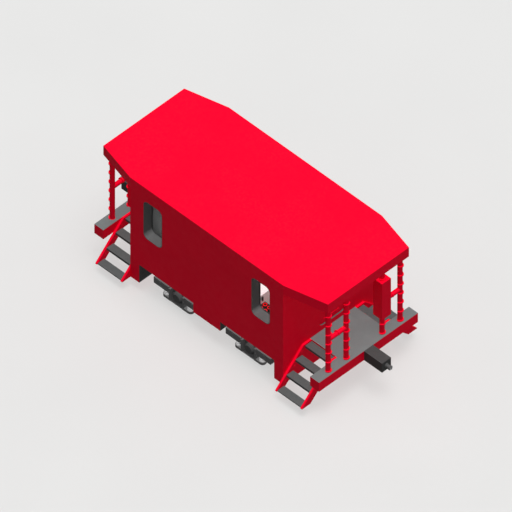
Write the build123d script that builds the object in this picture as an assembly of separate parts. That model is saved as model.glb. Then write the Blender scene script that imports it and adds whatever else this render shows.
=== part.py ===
"""A short eight-wheeled caboose with an open platform and steps at each end.

X runs along the car, Y across it and Z up. The origin is on the ground under the car's middle,
where the wheel flanges stand. End A is at +X and end B at -X. The right side is at -Y.
All sizes are in millimetres.
"""
import os
from math import cos, radians, sin

from build123d import *

os.makedirs("parts", exist_ok=True)

# Car body
body_length = 4250          # over the end walls
body_width = 2750           # over the side walls
wall_thickness = 250
side_wall_foot = 750        # lower edge of the side walls, over the trucks
end_wall_foot = 250         # the end walls reach down behind the steps
seat_gap = 0.3              # between a piece and the curved or sunk seat that holds it

# Roof, an eight-sided slab whose corners are cut back over the platforms
roof_top = 3000
roof_thickness = 250
roof_corner_margin = 125    # from the outer posts' middles to the roof's end corners

# Windows, two in each side wall
window_width = 520
window_height = 1030
window_head_drop = 113      # from the eaves down to the windows' heads
window_end_distance = 625   # from the end wall's outer face to the window's middle
window_corner = 125
casing_thickness = 12
pane_thickness = 8
pane_inset = 15             # from the inner wall face to the pane
shutter_thickness = 20
shutter_lap = 20            # how far the shutter laps the wall round its window

# Doors, one in each end wall
doorway_width = 860
doorway_rise = 80           # from the floor up to the doorway's foot
doorway_head_drop = 70      # from the eaves down to its head
door_stop_depth = 30        # the stop frame in the doorway's outer end, which the leaf closes against
door_stop_side = 55         # the stop frame's width at the sides
door_stop_rise = 45         # its width at the foot and the head
door_stop_corner = 125      # its rounded inner corners
door_stop_gap = 6           # from the stop frame to the leaf
door_thickness = 60
door_gap = 8                # round the leaf, apart from its foot
door_foot_gap = 12          # over the threshold
threshold_thickness = 10
door_light_width = 440      # the opening for the pane in the leaf
door_light_height = 560
door_light_head_drop = 195  # from the leaf's top to the opening's head
door_light_corner = 60
door_pane_thickness = 8
door_panel_depth = 8        # the sunk panel below the pane, in both faces
door_panel_rise = 130       # from the leaf's foot to the panel
door_panel_gap = 110        # from the panel to the opening above it
door_panel_corner = 15
knob_rise = 890             # above the leaf's foot
knob_edge_distance = 95     # from the leaf's free edge, clear of the stop frame
knob_radius = 28
knob_length = 60
knob_rose_thickness = 6
hinge_barrel_radius = 11
hinge_pin_radius = 6
hinge_pin_clearance = 0.3
hinge_edge_gap = 1          # from the barrels to the doorway's edge
hinge_barrel_length = 60    # each half, the wall's below and the door's above
hinge_count = 3
hinge_foot_rise = 170       # from the doorway's foot to the lowest hinge
hinge_head_drop = 130       # from the doorway's head down to the highest hinge

# Floor and underframe
floor_top = 1000
floor_thickness = 60
board_width = 125           # floor boards, which run along the car
board_groove = 5            # width and depth of the groove between two boards
sill_width = 250            # the centre sill, a top hat section open at its foot
sill_depth = 190
sill_plate = 14
sill_flange = 70            # the two foot flanges, turned inwards
bearer_depth_at_sill = 170  # the cross beams are deep at the sill and shallow at the walls
bearer_depth_at_wall = 80
bearer_width = 60
bolster_width = 220         # the body bolsters, over the trucks
bearer_offsets = (600, -500)        # from each pivot, away from the car's middle
centre_plate_height = 90    # from the truck's bowl to the sill
centre_plate_radius = 120
centre_plate_flange = 165
centre_plate_flange_thickness = 15
skirt_clearance = 10        # from the side frames' tops up to the skirts and the equipment box
box_clearance = 37.5        # from the wheel flanges to the equipment box and the skirts' ends

# Platforms
platform_length = 750       # from the end wall to the end beam
deck_width = 1250           # between the step wells
end_beam_thickness = 250
end_beam_depth = 250
drawbar_length = 500        # proud of the end beam

# Coupling nose at the drawbar's end
nose_length = 125
nose_radius = 52
nose_neck_radius = 38
nose_flange_thickness = 22
nose_head_thickness = 48
nose_chamfer = 8
stud_radius = 9
stud_length = 12
stud_margin = 5             # from the studs to the chamfer round the nose's face
stud_count = 4

# Steps, one flight at each corner
stringer_thickness = 50     # one plate against the end wall and one against the end beam
stringer_flat = 225         # level top beside the deck, before the 45 degree slope
stringer_depth = 250        # upright depth of the plate
stringer_toe = 12           # upright edge at the plate's lowest end
tread_thickness = 59
tread_setback = 4           # behind the stringers' sloping edge
tread_depth = 185
top_tread_drop = 38         # from the deck down to the tread beside it
first_step_drop = 234       # from the deck down to the first tread on the slope
step_rise = 250
sloping_steps = 3           # below the top tread

# Railings
post_radius = 55
post_places = (500, 1000)   # across the car, each side
collar_radius = 77
collar_thickness = 22
collar_spacing = 250
rail_bay = 3                # collars below the cross rail's bay
rail_bay_rise = 100         # from the foot of that collar to the rail's middle
rail_radius = 52

# Brake gear housing on one post at end A
housing_width = 250
housing_rise = 500          # above the deck
housing_head_drop = 250     # below the eaves

# Galley against the right wall, seen through its window
galley_setback = 750        # from the cabin's end to the cupboard's face
cupboard_width = 250        # along the car
cupboard_depth = 500
cupboard_height = 750
cupboard_door_thickness = 18
cupboard_door_margin = 12
handle_width = 28
handle_length = 110
handle_depth = 30
handle_head_drop = 50       # below the cupboard's top
handle_edge_distance = 165  # from the wall
stove_width = 250
stove_depth = 250
stove_height = 500
hotplate_thickness = 16
hotplate_lip = 8
ring_margin = 6             # from the rings to the hotplate's edge
ring_gap = 6
ring_width = 16
ring_thickness = 4

# Trucks
truck_setback = 1125        # from the end wall's outer face to the pivot
wheel_tread_radius = 237.5
flange_height = 25
wheel_back_distance = 1360  # between the backs of a pair of wheels
wheel_width = 135
flange_thickness = 32
flange_tip_width = 19       # from the wheel's back to where the flange starts to slope
flange_back_chamfer = 8
tread_slope = 3             # the tread is this much smaller at the wheel's face
tread_chamfer = 6
wheel_web_thickness = 38
wheel_rim_depth = 42
wheel_fillet = 14           # where the web meets the rim and the hub
hub_radius = 82
hub_overhang = 12           # past the wheel's two faces
axle_radius = 62
axle_shoulder = 20          # from the wheel's hub to the slope down to the journal
axle_slope = 12
journal_radius = 50
journal_clearance = 0.5
journal_chamfer = 4
journal_end_gap = 5         # between the axle's end and the bottom of its bearing

frame_face_distance = 2450  # over the side frames
frame_thickness = 164
frame_top = 490
frame_foot = 138
frame_arm_thickness = 158
frame_arm_overhang = 300    # past the axle's middle
frame_middle_half = 208     # half length of the deep middle
frame_middle_drop = 30      # its top is lower than the arms
frame_fillet = 35           # under the arms
shelf_thickness = 59        # the shelf that the springs stand on
recess_half = 164
recess_depth = 80
boss_radius = 125
boss_chamfer = 28
boss_head_drop = 20         # below the middle's top

spring_radius = 69
spring_wire_radius = 14
spring_turns = 2.5
spring_end_thickness = 7    # the flat rings at the spring's two ends

axle_box_width = 300
axle_box_thickness = 100
axle_box_head_drop = 40     # below the side frame's top
axle_box_wall = 12          # behind the journal's bearing

wheel_clearance = 12.5      # from the wheel flanges to the truck's cross beam
truck_bolster_width = 100
truck_bolster_end_depth = 135
truck_bolster_foot = 225
truck_bolster_level_half = 480      # half length of its deepest stretch
truck_bolster_hump_half = 230
truck_bolster_shoulder = 620        # where the hump meets the level ends
bowl_clearance = 6
bowl_rim = 24
bowl_floor_thickness = 20
bowl_depth = 30

# Places worked out from the sizes above
body_end = body_length / 2
body_side = body_width / 2
cabin_end = body_end - wall_thickness
cabin_side = body_side - wall_thickness
eaves = roof_top - roof_thickness
window_offset = body_end - window_end_distance
window_middle = eaves - window_head_drop - window_height / 2
floor_foot = floor_top - floor_thickness
sill_foot = floor_foot - sill_depth
beam_inner = body_end + platform_length
beam_outer = beam_inner + end_beam_thickness
post_x = (beam_inner + beam_outer) / 2
rail_height = floor_top + rail_bay * collar_spacing + rail_bay_rise
deck_side = deck_width / 2
flat_end = deck_side + stringer_flat
stringer_reach = sloping_steps * step_rise
stringer_foot = floor_top - stringer_reach - stringer_toe

doorway_foot = floor_top + doorway_rise
doorway_top = eaves - doorway_head_drop
leaf_foot = doorway_foot + threshold_thickness + door_foot_gap
leaf_top = doorway_top - door_gap
leaf_side = doorway_width / 2 - door_gap
stop_inner = body_end - door_stop_depth
leaf_outer = stop_inner - door_stop_gap
leaf_inner = leaf_outer - door_thickness
door_light_foot = leaf_top - door_light_head_drop - door_light_height
hinge_x = leaf_inner - hinge_barrel_radius
hinge_y = -(doorway_width / 2 - hinge_barrel_radius - hinge_edge_gap)
hinge_foot = doorway_foot + hinge_foot_rise
hinge_pitch = (doorway_top - hinge_head_drop - hinge_foot) / (hinge_count - 1)
hinge_heights = [hinge_foot + number * hinge_pitch for number in range(hinge_count)]
cupboard_face = cabin_end - galley_setback

wheel_reach = wheel_tread_radius + flange_height
axle_height = wheel_reach
axle_offset = wheel_reach + truck_bolster_width / 2 + wheel_clearance
truck_offset = body_end - truck_setback
skirt_half = truck_offset - axle_offset - wheel_reach - box_clearance
skirt_foot = frame_top + skirt_clearance
frame_outer = frame_face_distance / 2
frame_inner = frame_outer - frame_thickness
frame_middle = (frame_inner + frame_outer) / 2
shelf_top = frame_foot + shelf_thickness
arm_foot = frame_top - frame_arm_thickness
journal_depth = axle_box_thickness - axle_box_wall
plate_foot = sill_foot - centre_plate_height + seat_gap
bowl_floor = plate_foot - seat_gap
bowl_radius = centre_plate_radius + bowl_clearance + bowl_rim
truck_bolster_top = bowl_floor - bowl_floor_thickness
ENDS = (("a", 1), ("b", -1))
SIDES = (("right", -1), ("left", 1))


def block(x_low, x_high, y_low, y_high, z_low, z_high):
    """A rectangular block between two opposite corners."""
    size = (x_high - x_low, y_high - y_low, z_high - z_low)
    middle = ((x_low + x_high) / 2, (y_low + y_high) / 2, (z_low + z_high) / 2)
    return Pos(*middle) * Box(*size)


def across(outline, y_low, y_high):
    """An outline drawn in X and Z, as thick as from y_low to y_high."""
    plane = Plane(origin=(0, y_high, 0), x_dir=(1, 0, 0), z_dir=(0, -1, 0))
    return extrude(plane * make_face(Polyline(*outline, close=True)), y_high - y_low)


def along(outline, x_low, x_high):
    """An outline drawn in Y and Z, as thick as from x_low to x_high."""
    plane = Plane(origin=(x_low, 0, 0), x_dir=(0, 1, 0), z_dir=(1, 0, 0))
    return extrude(plane * make_face(Polyline(*outline, close=True)), x_high - x_low)


def upward(outline, z_low, z_high):
    """An outline drawn in X and Y, as thick as from z_low to z_high."""
    return extrude(Pos(0, 0, z_low) * make_face(Polyline(*outline, close=True)), z_high - z_low)


def rounded_plug(middle, width, height, corner, y_low, y_high):
    """A rounded rectangle in X and Z, as thick as from y_low to y_high."""
    plane = Plane(origin=(middle[0], y_high, middle[1]), x_dir=(1, 0, 0), z_dir=(0, -1, 0))
    return extrude(plane * RectangleRounded(width, height, corner), y_high - y_low)


def spun(profile):
    """A closed profile of (radius, distance along Y) points, turned about the Y axis."""
    return revolve(make_face(Polyline(*profile, close=True)), axis=Axis.Y)


def to_end(shape, end):
    """The shape as drawn for end A, or turned half a turn about the car's middle for end B."""
    return shape if end > 0 else Rot(0, 0, 180) * shape


def mirrored(shape, end, side):
    """The shape as drawn at +X and +Y, mirrored to the wanted end and side."""
    if end < 0:
        shape = mirror(shape, Plane.YZ)
    if side < 0:
        shape = mirror(shape, Plane.XZ)
    return shape


def write(name, solids):
    """Write one node's STEP file from one solid or a list of separate ones."""
    solids = solids if isinstance(solids, list) else [solids]
    pieces = [piece for shape in solids for piece in shape.solids()]
    shape = pieces[0] if len(pieces) == 1 else Compound(children=pieces)
    shape.label = name
    export_step(shape, f"parts/{name}.step")


def roof():
    """The flat roof slab, straight over the cabin and cut back to its narrow ends."""
    narrow = post_places[-1] + roof_corner_margin
    quarter = [(body_end, body_side), (beam_outer, narrow)]
    outline = quarter + [(x, -y) for x, y in reversed(quarter)]
    outline += [(-x, -y) for x, y in quarter] + [(-x, y) for x, y in reversed(quarter)]
    return upward(outline, eaves, roof_top)


def window_shape(x_middle, shrink, y_low, y_high):
    """The window's rounded outline, smaller by shrink all round."""
    return rounded_plug((x_middle, window_middle), window_width - 2 * shrink,
                        window_height - 2 * shrink, window_corner - shrink, y_low, y_high)


def side_wall(side):
    """A side wall with its skirt between the trucks and its two windows cut."""
    outline = [(-cabin_end, side_wall_foot), (-skirt_half, side_wall_foot), (-skirt_half, skirt_foot),
               (skirt_half, skirt_foot), (skirt_half, side_wall_foot), (cabin_end, side_wall_foot),
               (cabin_end, eaves), (-cabin_end, eaves)]
    y_low, y_high = sorted((side * cabin_side, side * body_side))
    wall = across(outline, y_low, y_high)
    for x_middle in (-window_offset, window_offset):
        wall -= window_shape(x_middle, 0, y_low - 1, y_high + 1)
    return wall


def end_wall():
    """End A's wall with its doorway and a slot for the sill."""
    wall = block(cabin_end, body_end, -body_side, body_side, end_wall_foot, eaves)
    half = doorway_width / 2
    wall -= block(cabin_end - 1, body_end + 1, -half, half, doorway_foot, doorway_top)
    sill = sill_width / 2
    return wall - block(cabin_end - 1, body_end + 1, -sill, sill, sill_foot, floor_foot)


def window_casing(x_middle, side):
    """The grey lining of one window, through the whole wall."""
    y_low, y_high = sorted((side * cabin_side, side * body_side))
    lining = window_shape(x_middle, seat_gap, y_low, y_high)
    return lining - window_shape(x_middle, casing_thickness, y_low - 1, y_high + 1)


def window_pane(x_middle, side):
    """One fixed pane near the inner end of its casing."""
    inner = cabin_side + pane_inset
    y_low, y_high = sorted((side * inner, side * (inner + pane_thickness)))
    return window_shape(x_middle, casing_thickness + seat_gap, y_low, y_high)


def window_shutter():
    """The closed inner shutter of the right wall's window at end B."""
    return rounded_plug((-window_offset, window_middle), window_width + 2 * shutter_lap,
                        window_height + 2 * shutter_lap, shutter_lap, -cabin_side,
                        -cabin_side + shutter_thickness)


def rounded_panel(x_low, x_high, width, z_low, z_high, corner):
    """A rounded rectangle in Y and Z about the car's middle line, as thick as from x_low to x_high."""
    plane = Plane(origin=(x_low, 0, (z_low + z_high) / 2), x_dir=(0, 1, 0), z_dir=(1, 0, 0))
    return extrude(plane * RectangleRounded(width, z_high - z_low, corner), x_high - x_low)


def threshold():
    """The metal lining of end A's doorway: its stop frame, rounded inside, and the plate behind its foot."""
    half = doorway_width / 2
    stop = block(stop_inner, body_end, -half, half, doorway_foot, doorway_top)
    stop -= rounded_panel(stop_inner - 1, body_end + 1, doorway_width - 2 * door_stop_side,
                          doorway_foot + door_stop_rise, doorway_top - door_stop_rise, door_stop_corner)
    return stop + block(cabin_end, stop_inner, -half, half, doorway_foot, doorway_foot + threshold_thickness)


def upright_rod(x, y, radius, z_low, z_high):
    """A round upright rod."""
    return Pos(x, y, z_low) * Cylinder(radius, z_high - z_low, align=(Align.CENTER, Align.CENTER, Align.MIN))


def door_leaf():
    """End A's door: one thick leaf, cut for its pane and knob, with the upper hinge barrels."""
    leaf = block(leaf_inner, leaf_outer, -leaf_side, leaf_side, leaf_foot, leaf_top)
    leaf -= rounded_panel(leaf_inner - 1, leaf_outer + 1, door_light_width, door_light_foot,
                          door_light_foot + door_light_height, door_light_corner)
    for x_low in (leaf_inner - 1, leaf_outer - door_panel_depth):
        leaf -= rounded_panel(x_low, x_low + door_panel_depth + 1, door_light_width,
                              leaf_foot + door_panel_rise, door_light_foot - door_panel_gap,
                              door_panel_corner)
    bore = hinge_pin_radius + hinge_pin_clearance
    for height in hinge_heights:
        barrel = upright_rod(hinge_x, hinge_y, hinge_barrel_radius, height, height + hinge_barrel_length)
        tongue = block(hinge_x, leaf_inner + 1, hinge_y - hinge_barrel_radius / 2,
                       hinge_y + hinge_barrel_radius / 2, height, height + hinge_barrel_length)
        leaf += barrel + tongue
        leaf -= upright_rod(hinge_x, hinge_y, bore, height - 1, height + hinge_barrel_length + 1)
    return leaf


def hinge_pin(height):
    """The wall's half of one hinge: a barrel on a flap, and the pin that the door hangs on."""
    foot = height - hinge_barrel_length
    top = height - seat_gap
    barrel = upright_rod(hinge_x, hinge_y, hinge_barrel_radius, foot, top)
    flap = block(hinge_x - 2 * hinge_barrel_radius, hinge_x, -doorway_width / 2,
                 hinge_y - hinge_barrel_radius / 2, foot, top)
    pin = upright_rod(hinge_x, hinge_y, hinge_pin_radius, foot, height + hinge_barrel_length)
    return barrel + flap + pin


def door_pane():
    """The pane in end A's door."""
    x_low = leaf_inner + (door_thickness - door_pane_thickness) / 2
    return rounded_panel(x_low, x_low + door_pane_thickness, door_light_width - 2 * seat_gap,
                         door_light_foot + seat_gap, door_light_foot + door_light_height - seat_gap,
                         door_light_corner - seat_gap)


def door_knobs():
    """The two knobs of end A's door, one on each face."""
    y = leaf_side - knob_edge_distance
    height = leaf_foot + knob_rise
    neck = knob_radius / 2
    # radius, distance from the leaf's face
    profile = [(0, 0), (knob_radius, 0), (knob_radius, knob_rose_thickness), (neck, knob_rose_thickness),
               (neck, knob_length / 2), (knob_radius, knob_length / 2 + neck / 2),
               (knob_radius, knob_length - neck / 2), (neck, knob_length), (0, knob_length)]
    knob = spun(profile)
    outer = Pos(leaf_outer, y, height) * Rot(0, 0, -90) * knob
    inner = Pos(leaf_inner, y, height) * Rot(0, 0, 90) * knob
    return [outer, inner]


def floor():
    """The cabin floor, of boards with a groove between each two."""
    count = round(2 * cabin_side / board_width)
    pitch = 2 * cabin_side / count
    half = board_groove / 2
    outline = [(-cabin_side, floor_foot), (cabin_side, floor_foot), (cabin_side, floor_top)]
    for number in range(1, count):
        y = cabin_side - number * pitch
        outline += [(y + half, floor_top), (y + half, floor_top - board_groove),
                    (y - half, floor_top - board_groove), (y - half, floor_top)]
    outline.append((-cabin_side, floor_top))
    return along(outline, -cabin_end, cabin_end)


def centre_sill():
    """The top hat beam that runs under the floor and both decks, from end beam to end beam."""
    side = sill_width / 2
    web = side - sill_plate
    lip = side - sill_flange
    top = floor_foot - sill_plate
    # distance from the middle, height
    half = [(lip, sill_foot), (side, sill_foot), (side, floor_foot)]
    hollow = [(web, top), (web, sill_foot + sill_plate), (lip, sill_foot + sill_plate)]
    outline = half + [(-y, z) for y, z in reversed(half)]
    outline += [(-y, z) for y, z in reversed(hollow)] + hollow
    return along(outline, -beam_inner, beam_inner)


def cross_beam(x_middle, width, side):
    """A tapered beam from the centre sill to one side wall."""
    sill = side * sill_width / 2
    wall = side * cabin_side
    outline = [(sill, floor_foot), (wall, floor_foot), (wall, floor_foot - bearer_depth_at_wall),
               (sill, floor_foot - bearer_depth_at_sill)]
    return along(outline, x_middle - width / 2, x_middle + width / 2)


def equipment_box():
    """The closed box under the floor between the trucks, from skirt to skirt."""
    return block(-skirt_half, skirt_half, -cabin_side, cabin_side, skirt_foot, sill_foot)


def centre_plate():
    """The round plate under the sill that rests in truck A's bowl."""
    plate = upright_rod(truck_offset, 0, centre_plate_radius, plate_foot, sill_foot)
    return plate + upright_rod(truck_offset, 0, centre_plate_flange,
                               sill_foot - centre_plate_flange_thickness, sill_foot)


def deck():
    """End A's deck between the step wells."""
    return block(body_end, beam_inner, -deck_side, deck_side, floor_foot, floor_top)


def end_beam():
    """End A's beam across the platform, with its pocket for the drawbar."""
    beam = block(beam_inner, beam_outer, -body_side, body_side, floor_top - end_beam_depth, floor_top)
    half = sill_width / 2
    return beam - block(beam_inner - 1, beam_outer + 1, -half, half, sill_foot - 1, floor_foot)


def drawbar():
    """End A's drawbar box, through the end beam's pocket and full height outside it."""
    tip = beam_outer + drawbar_length
    outline = [(beam_inner, sill_foot), (tip, sill_foot), (tip, floor_top), (beam_outer, floor_top),
               (beam_outer, floor_foot), (beam_inner, floor_foot)]
    return across(outline, -sill_width / 2, sill_width / 2)


def coupling_nose():
    """The round nose on end A's drawbar: a flange, a neck, and a head with studs."""
    base = beam_outer + drawbar_length
    head = nose_length - nose_head_thickness
    # radius, distance from the drawbar's end
    profile = [(0, 0), (nose_radius, 0), (nose_radius, nose_flange_thickness),
               (nose_neck_radius, nose_flange_thickness), (nose_neck_radius, head), (nose_radius, head),
               (nose_radius, nose_length - nose_chamfer), (nose_radius - nose_chamfer, nose_length),
               (0, nose_length)]
    nose = spun(profile)
    circle = nose_radius - nose_chamfer - stud_margin - stud_radius
    stud = Cylinder(stud_radius, stud_length + nose_chamfer, rotation=(90, 0, 0))
    for turn in range(stud_count):
        angle = radians(45 + turn * 360 / stud_count)
        place = Pos(circle * cos(angle), nose_length + (stud_length - nose_chamfer) / 2,
                    circle * sin(angle))
        nose += place * stud
    return Pos(base, 0, (sill_foot + floor_top) / 2) * Rot(0, 0, -90) * nose


def stringer(x_low):
    """One sloping side plate of the flight at +X and +Y, as thick as a stringer from x_low."""
    tip = flat_end + stringer_reach
    slope_foot = floor_top - stringer_depth
    outline = [(deck_side, floor_top), (flat_end, floor_top), (tip, stringer_foot + stringer_toe),
               (tip, stringer_foot), (flat_end + slope_foot - stringer_foot, stringer_foot),
               (flat_end, slope_foot), (deck_side, slope_foot)]
    return along(outline, x_low, x_low + stringer_thickness)


def step_stringers(end):
    """The four side plates of one end's two flights."""
    wall_plate = stringer(body_end)
    beam_plate = stringer(beam_inner - stringer_thickness)
    return [mirrored(plate, end, side) for _, side in SIDES for plate in (wall_plate, beam_plate)]


def step_treads(end):
    """The treads of one end's two flights. The lowest is only as thick as its side plates leave."""
    x_low = body_end + stringer_thickness
    x_high = beam_inner - stringer_thickness
    top = floor_top - top_tread_drop
    treads = [block(x_low, x_high, deck_side, deck_side + tread_depth, top - tread_thickness, top)]
    for step in range(sloping_steps):
        drop = first_step_drop + step * step_rise
        top = floor_top - drop
        front = flat_end + drop - tread_setback
        foot = max(top - tread_thickness, stringer_foot)
        treads.append(block(x_low, x_high, front - tread_depth, front, foot, top))
    return [mirrored(tread, end, side) for _, side in SIDES for tread in treads]


def collared_post(y, collar_heights):
    """One post at end A, with thin half collars on its outward side."""
    post = upright_rod(post_x, y, post_radius, floor_top, eaves)
    for height in collar_heights:
        collar = upright_rod(post_x, y, collar_radius, height, height + collar_thickness)
        post += collar & block(post_x, post_x + collar_radius, y - collar_radius, y + collar_radius,
                               height, height + collar_thickness)
    return post


def railing_posts(end):
    """The four posts of one end. The one in the brake housing has no collars inside it."""
    count = int((eaves - floor_top - collar_thickness) // collar_spacing) + 1
    heights = [floor_top + step * collar_spacing for step in range(count)]
    housing_foot = floor_top + housing_rise
    housing_top = eaves - housing_head_drop
    clear = [z for z in heights if z + collar_thickness <= housing_foot or z >= housing_top]
    posts = []
    for _, side in SIDES:
        for y in post_places:
            housed = end > 0 and side > 0 and y == post_places[0]
            post = collared_post(y, clear if housed else heights)
            posts.append(mirrored(post, end, side))
    return posts


def cross_rail(end, side):
    """The rail between the two posts of one corner, with a half collar on top at its middle."""
    inner, outer = post_places
    rod = Rot(90, 0, 0) * Cylinder(rail_radius, outer - inner)
    ring = Rot(90, 0, 0) * Cylinder(rail_radius + collar_radius - post_radius, collar_thickness)
    ring &= block(-collar_radius, collar_radius, -collar_thickness, collar_thickness, 0, collar_radius)
    rail = Pos(post_x, (inner + outer) / 2, rail_height) * (rod + ring)
    for y in post_places:
        rail -= upright_rod(post_x, y, post_radius + seat_gap, floor_top, eaves)
    if end > 0 and side > 0:
        rail -= brake_housing_block()
    return mirrored(rail, end, side)


def brake_housing_block():
    """The outside of the brake gear housing."""
    half = housing_width / 2
    y = post_places[0]
    return block(post_x - half, post_x + half, y - half, y + half, floor_top + housing_rise,
                 eaves - housing_head_drop)


def brake_housing():
    """The brake gear housing, bored for the post that carries it."""
    bore = upright_rod(post_x, post_places[0], post_radius + seat_gap, floor_top, eaves)
    return brake_housing_block() - bore


def galley_cupboard():
    """The white cupboard, with its door and its upright handle on the face towards end A."""
    carcass_face = cupboard_face - cupboard_door_thickness
    carcass = block(cupboard_face - cupboard_width, carcass_face, -cabin_side, -cabin_side + cupboard_depth,
                    floor_top, floor_top + cupboard_height)
    margin = cupboard_door_margin
    door_foot = floor_top + stove_height + margin
    carcass += block(carcass_face, cupboard_face, -cabin_side + margin,
                     -cabin_side + cupboard_depth - margin, door_foot, floor_top + cupboard_height - margin)
    handle_y = -cabin_side + handle_edge_distance
    handle_z = floor_top + cupboard_height - handle_head_drop - handle_length / 2
    handle = block(cupboard_face, cupboard_face + handle_depth, handle_y - handle_width / 2,
                   handle_y + handle_width / 2, handle_z - handle_length / 2, handle_z + handle_length / 2)
    return carcass + handle


def camp_stove():
    """The small black stove beside the cupboard, with its hotplate on top."""
    body_top = floor_top + stove_height - hotplate_thickness
    body = block(cupboard_face, cupboard_face + stove_width - hotplate_lip, -cabin_side,
                 -cabin_side + stove_depth - hotplate_lip, floor_top, body_top)
    return body + block(cupboard_face, cupboard_face + stove_width, -cabin_side,
                        -cabin_side + stove_depth, body_top, floor_top + stove_height)


def stove_rings():
    """The four red rings on the hotplate."""
    x_middle = cupboard_face + stove_width / 2
    y_middle = -cabin_side + stove_depth / 2
    top = floor_top + stove_height
    radius = (min(stove_width, stove_depth) / 2 - ring_margin - ring_gap / 2) / 2
    offset = radius + ring_gap / 2
    rings = []
    for dx in (-offset, offset):
        for dy in (-offset, offset):
            ring = upright_rod(x_middle + dx, y_middle + dy, radius, top, top + ring_thickness)
            rings.append(ring - upright_rod(x_middle + dx, y_middle + dy, radius - ring_width,
                                            top - 1, top + ring_thickness + 1))
    return rings


def rounded_at(face, corners, radius):
    """A flat face with the corners nearest to the given points rounded."""
    chosen = [face.vertices().sort_by_distance((x, y, 0))[0] for x, y in corners]
    return fillet(chosen, radius)


def side_frame():
    """Truck A's side frame at +Y: two arms, a deep recessed middle with a boss, and a spring shelf."""
    half_length = axle_offset + frame_arm_overhang
    middle_top = frame_top - frame_middle_drop
    # distance from the truck's middle, height
    half = [(frame_middle_half, frame_foot), (frame_middle_half, arm_foot), (half_length, arm_foot),
            (half_length, frame_top), (frame_middle_half, frame_top), (frame_middle_half, middle_top)]
    face = make_face(Polyline(*half, *[(-x, z) for x, z in reversed(half)], close=True))
    face = rounded_at(face, [(-frame_middle_half, arm_foot), (frame_middle_half, arm_foot)], frame_fillet)
    plane = Plane(origin=(0, frame_outer, 0), x_dir=(1, 0, 0), z_dir=(0, -1, 0))
    frame = extrude(plane * face, frame_thickness)
    shelf = SlotCenterToCenter(2 * axle_offset, frame_thickness)
    frame += extrude(Pos(0, frame_middle, frame_foot) * shelf, shelf_thickness)
    frame -= block(-recess_half, recess_half, frame_outer - recess_depth, frame_outer + 1,
                   frame_foot - 1, frame_top + 1)
    # radius, distance from the recess
    profile = [(0, 0), (boss_radius, 0), (boss_radius, recess_depth - boss_chamfer),
               (boss_radius - boss_chamfer, recess_depth), (0, recess_depth)]
    boss_height = middle_top - boss_head_drop - boss_radius
    frame += Pos(0, frame_outer - recess_depth, boss_height) * spun(profile)
    return Pos(truck_offset, 0, 0) * frame


def axle_box(x):
    """One axle box of truck A at +Y, round at its foot, against the side frame's inner face."""
    radius = axle_box_width / 2
    top = frame_top - axle_box_head_drop
    inner = frame_inner - axle_box_thickness
    shell = Pos(0, frame_inner - axle_box_thickness / 2, axle_height) * Rot(90, 0, 0) * Cylinder(
        radius, axle_box_thickness)
    shell += block(-radius, radius, inner, frame_inner, axle_height, top)
    shell -= Pos(0, inner + journal_depth / 2, axle_height) * Rot(90, 0, 0) * Cylinder(
        journal_radius + journal_clearance, journal_depth)
    return Pos(truck_offset + x, 0, 0) * shell


def spring(x):
    """One coil spring of truck A at +Y: a wound wire between two flat end rings."""
    coil_radius = spring_radius - spring_wire_radius
    height = arm_foot - shelf_top
    rise = height - 2 * spring_wire_radius
    path = Helix(pitch=rise / spring_turns, height=rise, radius=coil_radius)
    section = Plane(origin=path @ 0, z_dir=path % 0) * Circle(spring_wire_radius)
    coil = Pos(0, 0, spring_wire_radius) * sweep(section, path=path, is_frenet=True)
    for foot in (0, height - spring_end_thickness):
        ring = upright_rod(0, 0, spring_radius, foot, foot + spring_end_thickness)
        coil += ring - upright_rod(0, 0, coil_radius - spring_wire_radius, foot - 1,
                                   foot + spring_end_thickness + 1)
    return Pos(truck_offset + x, frame_middle, shelf_top) * coil


def truck_bolster():
    """Truck A's cross beam, humped to its bowl between the wheels."""
    end_top = frame_top - frame_middle_drop
    # distance from the truck's middle line, height
    half = [(truck_bolster_hump_half, truck_bolster_top), (truck_bolster_shoulder, end_top),
            (frame_inner, end_top), (frame_inner, end_top - truck_bolster_end_depth),
            (truck_bolster_level_half, truck_bolster_foot)]
    outline = half + [(-y, z) for y, z in reversed(half)]
    width = truck_bolster_width / 2
    beam = along(outline, -width, width)
    bowl = upright_rod(0, 0, bowl_radius, truck_bolster_top, bowl_floor + bowl_depth)
    bowl -= upright_rod(0, 0, bowl_radius - bowl_rim, bowl_floor, bowl_floor + bowl_depth + 1)
    return Pos(truck_offset, 0, 0) * (beam + bowl)


def wheel():
    """One wheel at +Y on the line along Y through the origin, flange inwards."""
    back = wheel_back_distance / 2
    face = back + wheel_width
    rim = wheel_tread_radius - wheel_rim_depth
    web_low = back + (wheel_width - wheel_web_thickness) / 2
    web_high = web_low + wheel_web_thickness
    tread_face = wheel_tread_radius - tread_slope
    # radius, distance across the car
    profile = [(axle_radius, back - hub_overhang), (hub_radius, back - hub_overhang), (hub_radius, web_low),
               (rim, web_low), (rim, back), (wheel_reach - flange_back_chamfer, back),
               (wheel_reach, back + flange_back_chamfer), (wheel_reach, back + flange_tip_width),
               (wheel_tread_radius, back + flange_thickness), (tread_face, face - tread_chamfer),
               (tread_face - tread_chamfer, face), (rim, face), (rim, web_high), (hub_radius, web_high),
               (hub_radius, face + hub_overhang), (axle_radius, face + hub_overhang)]
    outline = make_face(Polyline(*profile, close=True))
    roots = [(radius, y) for radius in (hub_radius, rim) for y in (web_low, web_high)]
    return revolve(rounded_at(outline, roots, wheel_fillet), axis=Axis.Y)


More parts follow.
